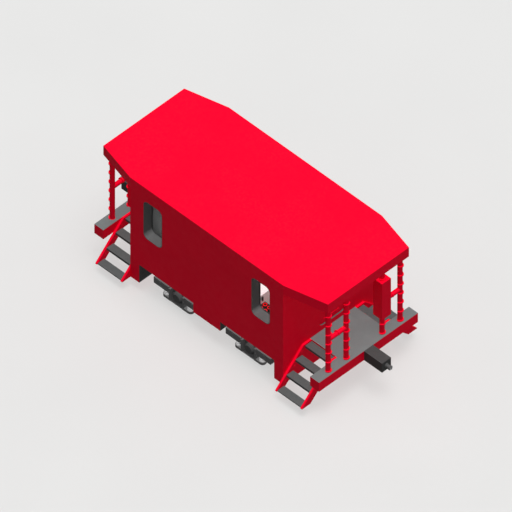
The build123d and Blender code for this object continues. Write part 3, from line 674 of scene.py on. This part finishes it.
# front edge's distance from the car's middle line, top
TREAD_PLACES = [(0.810, 0.962), (1.080, 0.766), (1.330, 0.516), (1.580, 0.266)]
TREAD_DEPTH = 0.185
tread_low, tread_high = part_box("step_treads_a")
LOZENGE_LENGTH = 0.024
LOZENGE_WIDTH = 0.010
LOZENGE_RISE = 0.0016
# a lozenge's top against its foot
LOZENGE_TOP = 0.6
# along and across the tread
LOZENGE_PITCH = (0.032, 0.0155)
LOZENGE_MARGIN = 0.018


def tread_pattern(front, top):
    """The middles of one tread's lozenges and their turns, which change hands from row to row."""
    along, across = LOZENGE_PITCH
    rows = np.arange(front - TREAD_DEPTH + LOZENGE_MARGIN, front - LOZENGE_MARGIN, across)
    columns = np.arange(tread_low.x + LOZENGE_MARGIN,
                        tread_high.x - LOZENGE_MARGIN - along / 2, along)
    x, y = np.meshgrid(columns, rows, indexing="ij")
    odd = np.arange(len(rows)) % 2
    x = x + odd * along / 2
    turn = np.broadcast_to((odd - 0.5) * math.pi / 2, x.shape)
    return np.stack([x, y, np.full(x.shape, top)], axis=-1).reshape(-1, 3), turn.ravel()


def lozenges(middles, turns):
    """Low four-sided mounds: a lozenge at the plate and a smaller one at its top, joined by slopes.

    point = middle + (cos t, sin t) length + (-sin t, cos t) width, at the rise of its row.
    """
    length = np.array([1, 0, -1, 0]) * LOZENGE_LENGTH / 2
    width = np.array([0, 1, 0, -1]) * LOZENGE_WIDTH / 2
    size, rise = np.array([1.0, LOZENGE_TOP]), np.array([-SEAT, LOZENGE_RISE])
    along = np.stack([np.cos(turns), np.sin(turns)], axis=-1)
    beside = np.stack([-np.sin(turns), np.cos(turns)], axis=-1)
    flat = length[:, None] * along[:, None] + width[:, None] * beside[:, None]
    level = middles[:, None, None, :2] + size[:, None, None] * flat[:, None]
    rises = np.broadcast_to(rise[:, None, None], (len(turns), 2, 4, 1))
    points = np.concatenate([level, middles[:, None, None, 2:] + rises], axis=-1)
    faces = np.array([(3, 2, 1, 0), (4, 5, 6, 7),
                      (0, 1, 5, 4), (1, 2, 6, 5), (2, 3, 7, 6), (3, 0, 4, 7)])
    starts = np.arange(len(turns)) * 8
    return points.reshape(-1, 3), (faces + starts[:, None, None]).reshape(-1, 4)


patterns = [tread_pattern(*place) for place in TREAD_PLACES]
middles = np.concatenate([middle for middle, _ in patterns])
turns = np.concatenate([turn for _, turn in patterns])
tread_lozenges = fitting("tread_lozenges", tread_plate, [
    lozenges(middles * (end, side, 1), turns * end * side) for end in (1, -1) for side in (1, -1)])
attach(tread_lozenges, "carbody")

# distance from the car's middle line, height
STRING_BOLTS = [(0.70, 0.83), (0.90, 0.86), (1.10, 0.62), (1.36, 0.38)]


def string_bolt_heads(sign_x, side):
    """The bolts in one flight's two strings, and their axes, which point at each other."""
    rows = np.array(STRING_BOLTS) * (side, 1)
    inner_faces = ((tread_low.x, 1), (tread_high.x, -1))
    places = [np.column_stack([np.full(len(rows), sign_x * x), rows]) for x, _ in inner_faces]
    axes = [np.tile((sign_x * way, 0, 0), (len(rows), 1)) for _, way in inner_faces]
    return heads(BOLT_HEAD, BOLT_SIDES, np.concatenate(places), np.concatenate(axes))


string_bolts = fitting("string_bolts", string_enamel,
                       [string_bolt_heads(*place) for place in window_corners])
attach(string_bolts, "carbody")


# Railings
# Tube posts with thin half collars, welded to the beams and the roof, tube rails between them and
# one closed housing for the brake gear, all sprayed red.

railing_enamel = enamel("railing_enamel", ENAMEL_RED, worn=0.3)
dress(railing_enamel, "railing_posts_a", "railing_posts_b", "cross_rails_a", "cross_rails_b",
      "brake_housing")

roof_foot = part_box("roof")[0].z
# from the car's middle to the posts, along and across
POST_OFFSET = 3.0
POST_REACHES = (-1.0, -0.5, 0.5, 1.0)
POST_RADIUS = 0.055
BEAD_RADIUS = 0.007
BEAD_RIPPLE = 0.12
BEAD_RIPPLES = 34
# round the post, round the bead
BEAD_STEPS = (4 * BEAD_RIPPLES, 6)
post_ends = corners([-POST_OFFSET, POST_OFFSET], POST_REACHES, [deck_high.z, roof_foot])
post_welds = fitting("post_welds", railing_enamel, [
    wire_ring(post_end, POST_RADIUS, BEAD_RADIUS, BEAD_STEPS, BEAD_RIPPLE, BEAD_RIPPLES)
    for post_end in post_ends], smooth=True)
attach(post_welds, "carbody")

housing_low, housing_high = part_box("brake_housing")
COVER_MARGIN = 0.024
# the screws' places along, across and up
cover_x, cover_y, cover_z = ([low + COVER_MARGIN, high - COVER_MARGIN]
                             for low, high in zip(housing_low, housing_high))
cover_z.insert(1, (housing_low.z + housing_high.z) / 2)
front_places = corners([housing_high.x], cover_y, cover_z)
side_places = corners(cover_x, [housing_low.y], cover_z)
housing_screws = fitting("housing_screws", railing_enamel, [
    heads(SCREW_HEAD, SCREW_SIDES, front_places, [(1, 0, 0)]),
    heads(SCREW_HEAD, SCREW_SIDES, side_places, [(0, -1, 0)])], smooth=True)
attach(housing_screws, "carbody")


# Underframe
# A top hat sill, tapered cross beams, the centre plates and the closed equipment box, all in dark
# underframe paint.

UNDERFRAME_DARK = (0.05, 0.05, 0.05)
dress(plain_paint("underframe_paint", UNDERFRAME_DARK, grain=0.0008, roughness=0.65),
      "centre_sill", "cross_beams", "equipment_box", "centre_plates")


# Trucks
# Cast side frames with a round boss in a recess, springs of bright wire round iron guides on
# their shelves, and axle boxes and a humped cross beam behind them. The guides are near black as
# painted shade inside the springs, and the bands below the bosses have painted shade on top.

CAST_GREY = (0.148, 0.148, 0.148)
BOSS_GREY = (0.084, 0.084, 0.084)
SPRING_BRIGHT = (0.55, 0.55, 0.55)
# near black, used as painted shade on the tops of the bands and in the guides inside the springs
PAINTED_SHADE_BLACK = (0.034, 0.034, 0.034)
# from the car's middle to a truck's pivot, and from there to each axle and each spring
PIVOT = 1.0
AXLE_OFFSET = 0.325
BOSS_HEIGHT = 0.315
BOSS_RADIUS = 0.125
frame_low, frame_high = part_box("truck_a_side_frames")


def cast_iron(name, colour, boss=None, shaded_above=None):
    """Painted casting with a sandy skin, of another grey on a turned boss.

    Above a given height it is painted near black, as painted shade.
    """
    iron = Finish(name, Specular_IOR_Level=0.1)
    sand = iron.clouds(0.006, 4)
    near = iron.clouds(0.1, 5)
    coat = iron.tones(near, colour, 0.92, 1.08)
    if boss:
        along = iron.sums("SUBTRACT", iron.sums("ABSOLUTE", iron.parts[0]), PIVOT)
        up = iron.sums("SUBTRACT", iron.parts[2], BOSS_HEIGHT)
        squared = iron.sums("MULTIPLY_ADD", along, along, iron.sums("MULTIPLY", up, up))
        turned = iron.sums("LESS_THAN", squared, (BOSS_RADIUS + FACE_SLACK) ** 2)
        coat = iron.mix(turned, coat, iron.tones(near, boss, 0.92, 1.08))
    # painted shade: whatever lies above the height is coloured near black
    if shaded_above:
        painted_shade_mask = iron.sums("GREATER_THAN", iron.parts[2], shaded_above - FACE_SLACK)
        coat = iron.mix(painted_shade_mask, coat, iron.tones(near, PAINTED_SHADE_BLACK, 0.8, 1.2))
    iron.relief((sand, 0.0009), (near, 0.002))
    return iron.done(coat, iron.soft(sand, 0.5, 0.7))


side_frame_iron = cast_iron("side_frame_iron", CAST_GREY, BOSS_GREY)
truck_iron = cast_iron("truck_iron", BOSS_GREY)
spring_steel = bare_steel("spring_steel", SPRING_BRIGHT, shine=0.1, roughness=0.5)
# from the middle of an axle box's four bolts to each, along and up, and their middle's height
BOX_BOLTS = (0.118, 0.049)
BOX_BOLTS_HEIGHT = 0.411
FOOT_BAND_HALF = 0.166
FOOT_BAND_TOP = 0.163
BAND_CHAMFER = 0.004
RECESS_DEPTH = 0.082
# from the car's middle line to a spring's middle
SPRING_MIDDLE = 1.143
GUIDE_RADIUS = 0.038
GUIDE_SIDES = 24
spring_low, spring_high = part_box("truck_a_springs")
guide_foot, guide_top = spring_low.z - SEAT, spring_high.z + SEAT
# radius, height
guide_profile = [(0.001, guide_foot), (GUIDE_RADIUS, guide_foot),
                 (GUIDE_RADIUS, guide_top), (0.001, guide_top)]


def foot_band(x_middle, side):
    """The band cast across the foot of one side frame's recess, below its boss.

    A section with two chamfered outer edges is carried from one end of the band to the other.
    """
    outer, inner = frame_high.y - SEAT, frame_high.y - RECESS_DEPTH
    foot, top = frame_low.z + SEAT, FOOT_BAND_TOP
    # distance from the car's middle line, height
    section = np.array([(inner, foot), (outer - BAND_CHAMFER, foot), (outer, foot + BAND_CHAMFER),
                        (outer, top - BAND_CHAMFER), (outer - BAND_CHAMFER, top), (inner, top)])
    points = np.concatenate([np.insert(section * (side, 1), 0, x_middle + reach, axis=1)
                             for reach in (-FOOT_BAND_HALF, FOOT_BAND_HALF)])
    edge = np.arange(6)
    beside = (edge + 1) % 6
    walls = np.stack([edge, beside, beside + 6, edge + 6], axis=-1)
    caps = np.array([(0, 5, 2, 1), (5, 4, 3, 2), (6, 7, 8, 11), (11, 8, 9, 10)])
    return points, np.concatenate([walls, caps])


# the band's top, in the recess under the boss, is near black as painted shade
band_iron = cast_iron("band_iron", CAST_GREY, shaded_above=FOOT_BAND_TOP)
# the guides are near black so that the inside of each spring shows painted shade
guide_iron = cast_iron("guide_iron", PAINTED_SHADE_BLACK)
for end, sign in (("a", 1), ("b", -1)):
    dress(side_frame_iron, f"truck_{end}_side_frames")
    dress(truck_iron, f"truck_{end}_axle_boxes", f"truck_{end}_bolster")
    dress(spring_steel, f"truck_{end}_springs")
    axles = [sign * PIVOT - AXLE_OFFSET, sign * PIVOT + AXLE_OFFSET]
    along = [axle + reach for axle in axles for reach in (-BOX_BOLTS[0], BOX_BOLTS[0])]
    up = [BOX_BOLTS_HEIGHT - BOX_BOLTS[1], BOX_BOLTS_HEIGHT + BOX_BOLTS[1]]
    bolts = fitting(f"truck_{end}_bolts", side_frame_iron, [
        heads(BOLT_HEAD, BOLT_SIDES, corners(along, [side * frame_high.y], up), [(0, side, 0)])
        for side in (-1, 1)])
    bands = fitting(f"truck_{end}_foot_bands", band_iron,
                    [foot_band(sign * PIVOT, side) for side in (-1, 1)])
    guide_places = corners(axles, [-SPRING_MIDDLE, SPRING_MIDDLE], [0.0])
    guides = fitting(f"truck_{end}_spring_guides", guide_iron, [
        heads(guide_profile, GUIDE_SIDES, guide_places, [(0, 0, 1)])])
    for piece in (bolts, bands, guides):
        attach(piece, f"truck_{end}")


# Wheelsets
# Rolled steel wheels pressed on to their axles, bright on the tread and dull elsewhere.

WHEEL_STEEL = (0.10, 0.10, 0.10)
TREAD_STEEL = (0.45, 0.45, 0.45)
# from the axle out to where the bright tread starts, and how soft its edge is
TREAD_REACH = 0.226
TREAD_EDGE = 0.006
AXLE_HEIGHT = 0.2625


def wheel_steel(name):
    """Dull steel, and bright where the tread runs: further than a given reach from the axle."""
    steel = Finish(name, Metallic=0.35, Specular_IOR_Level=0.4)
    from_middle = steel.sums("ABSOLUTE", steel.parts[0])
    from_pivot = steel.sums("ABSOLUTE", steel.sums("SUBTRACT", from_middle, PIVOT))
    along = steel.sums("SUBTRACT", from_pivot, AXLE_OFFSET)
    up = steel.sums("SUBTRACT", steel.parts[2], AXLE_HEIGHT)
    squared = steel.sums("MULTIPLY_ADD", along, along, steel.sums("MULTIPLY", up, up))
    bright = steel.ramp(steel.sums("SQRT", squared), TREAD_REACH, TREAD_REACH + TREAD_EDGE)
    near = steel.clouds(0.06, 5)
    dull = steel.tones(near, WHEEL_STEEL, 0.85, 1.15)
    tint = steel.mix(bright, dull, TREAD_STEEL)
    steel.relief((steel.clouds(0.004, 4), 0.0004))
    return steel.done(tint, steel.soft(near, 0.4, 0.6))


wheels_finish = wheel_steel("wheel_steel")
axle_finish = bare_steel("axle_steel", WHEEL_STEEL, shine=0.3)
for wheelset in ("a1", "a2", "b1", "b2"):
    dress(wheels_finish, f"wheelset_{wheelset}_wheels")
    dress(axle_finish, f"wheelset_{wheelset}_axle")


# Studio
# A plain pale floor, a strong high sun without shadows and a weaker one that draws them softly, an
# even pale surround, and a lamp in the cabin that stands in for it under the roof.

FLOOR_PALE = (0.62, 0.62, 0.615)
FLOOR_HALF = 40.0
FLOOR_STEPS = 9
SUN_FROM = (0.175, -0.055, 1.0)
SUN_STRENGTH = 3.55
SOFT_SHARE = 0.2
# name, share of the strength, width in degrees, whether it casts shadows
SUNS = [("high_sun", 1 - SOFT_SHARE, 4, False), ("soft_sun", SOFT_SHARE, 35, True)]
CABIN_LAMP = (1.55, 0.1, 2.45)
CABIN_LAMP_WATTS = 20.0
CABIN_LAMP_RADIUS = 0.25
SURROUND = 0.2


def level_floor(u, v):
    """A level sheet: point = (u, v, 0) times the floor's half width, with u and v from -1 to 1."""
    return np.stack([u * FLOOR_HALF, v * FLOOR_HALF, np.zeros_like(u)], axis=-1)


def grid_mesh(name, surface, across, along):
    """A mesh of surface(u, v) over an even grid of the two parameters from -1 to 1."""
    u, v = np.meshgrid(np.linspace(-1, 1, across), np.linspace(-1, 1, along), indexing="ij")
    points = surface(u, v).reshape(-1, 3)
    corner = (np.arange(across - 1)[:, None] * along + np.arange(along - 1)).ravel()
    faces = np.stack([corner, corner + along, corner + along + 1, corner + 1], axis=-1)
    mesh = bpy.data.meshes.new(name)
    mesh.from_pydata(points, [], faces.tolist())
    return mesh


def pale_floor(name):
    """Smooth matt floor paint, barely cloudy."""
    paint = Finish(name, Specular_IOR_Level=0.0)
    broad = paint.soft(paint.clouds(3.0, 2))
    coat = paint.mix(broad, shade(FLOOR_PALE, 0.992), shade(FLOOR_PALE, 1.008))
    return paint.done(coat, paint.ramp(broad, 0, 1, 0.85, 0.95))


ground = in_scene("ground", grid_mesh("ground", level_floor, FLOOR_STEPS, FLOOR_STEPS))
ground.data.materials.append(pale_floor("ground_paint"))
ground.visible_diffuse = False
ground.visible_glossy = False

for label, share, angle, shadow in SUNS:
    light = bpy.data.lights.new(label, "SUN")
    light.energy = SUN_STRENGTH * share
    light.angle = math.radians(angle)
    light.use_shadow = shadow
    in_scene(label, light).rotation_euler = Vector(SUN_FROM).to_track_quat("Z", "Y").to_euler()

light = bpy.data.lights.new("cabin_lamp", "POINT")
light.energy = CABIN_LAMP_WATTS
light.shadow_soft_size = CABIN_LAMP_RADIUS
in_scene("cabin_lamp", light).location = CABIN_LAMP

world = bpy.data.worlds.new("surround")
world.use_nodes = True
surround = world.node_tree.nodes["Background"].inputs
surround["Color"].default_value = (1, 1, 1, 1)
surround["Strength"].default_value = SURROUND
bpy.context.scene.world = world
bpy.context.scene.view_settings.view_transform = "Standard"


# Camera
# It looks down at 45 degrees from beyond the corner between end A and the right side, with no
# vanishing points.

VIEW_WIDTH = 10.067
VIEW_TARGET = (-0.002, -0.002, 1.347)
VIEW_AZIMUTH = math.radians(45)
VIEW_ELEVATION = math.radians(45)
VIEW_DISTANCE = 30.0
VIEW_REACH = 200.0

camera = bpy.data.cameras.new("camera")
camera.type = "ORTHO"
camera.ortho_scale = VIEW_WIDTH
camera.clip_end = VIEW_REACH
eye = in_scene("camera", camera)
back = Vector((math.sin(VIEW_AZIMUTH) * math.cos(VIEW_ELEVATION),
               -math.cos(VIEW_AZIMUTH) * math.cos(VIEW_ELEVATION), math.sin(VIEW_ELEVATION)))
eye.location = Vector(VIEW_TARGET) + back * VIEW_DISTANCE
eye.rotation_euler = back.to_track_quat("Z", "Y").to_euler()
bpy.context.scene.camera = eye
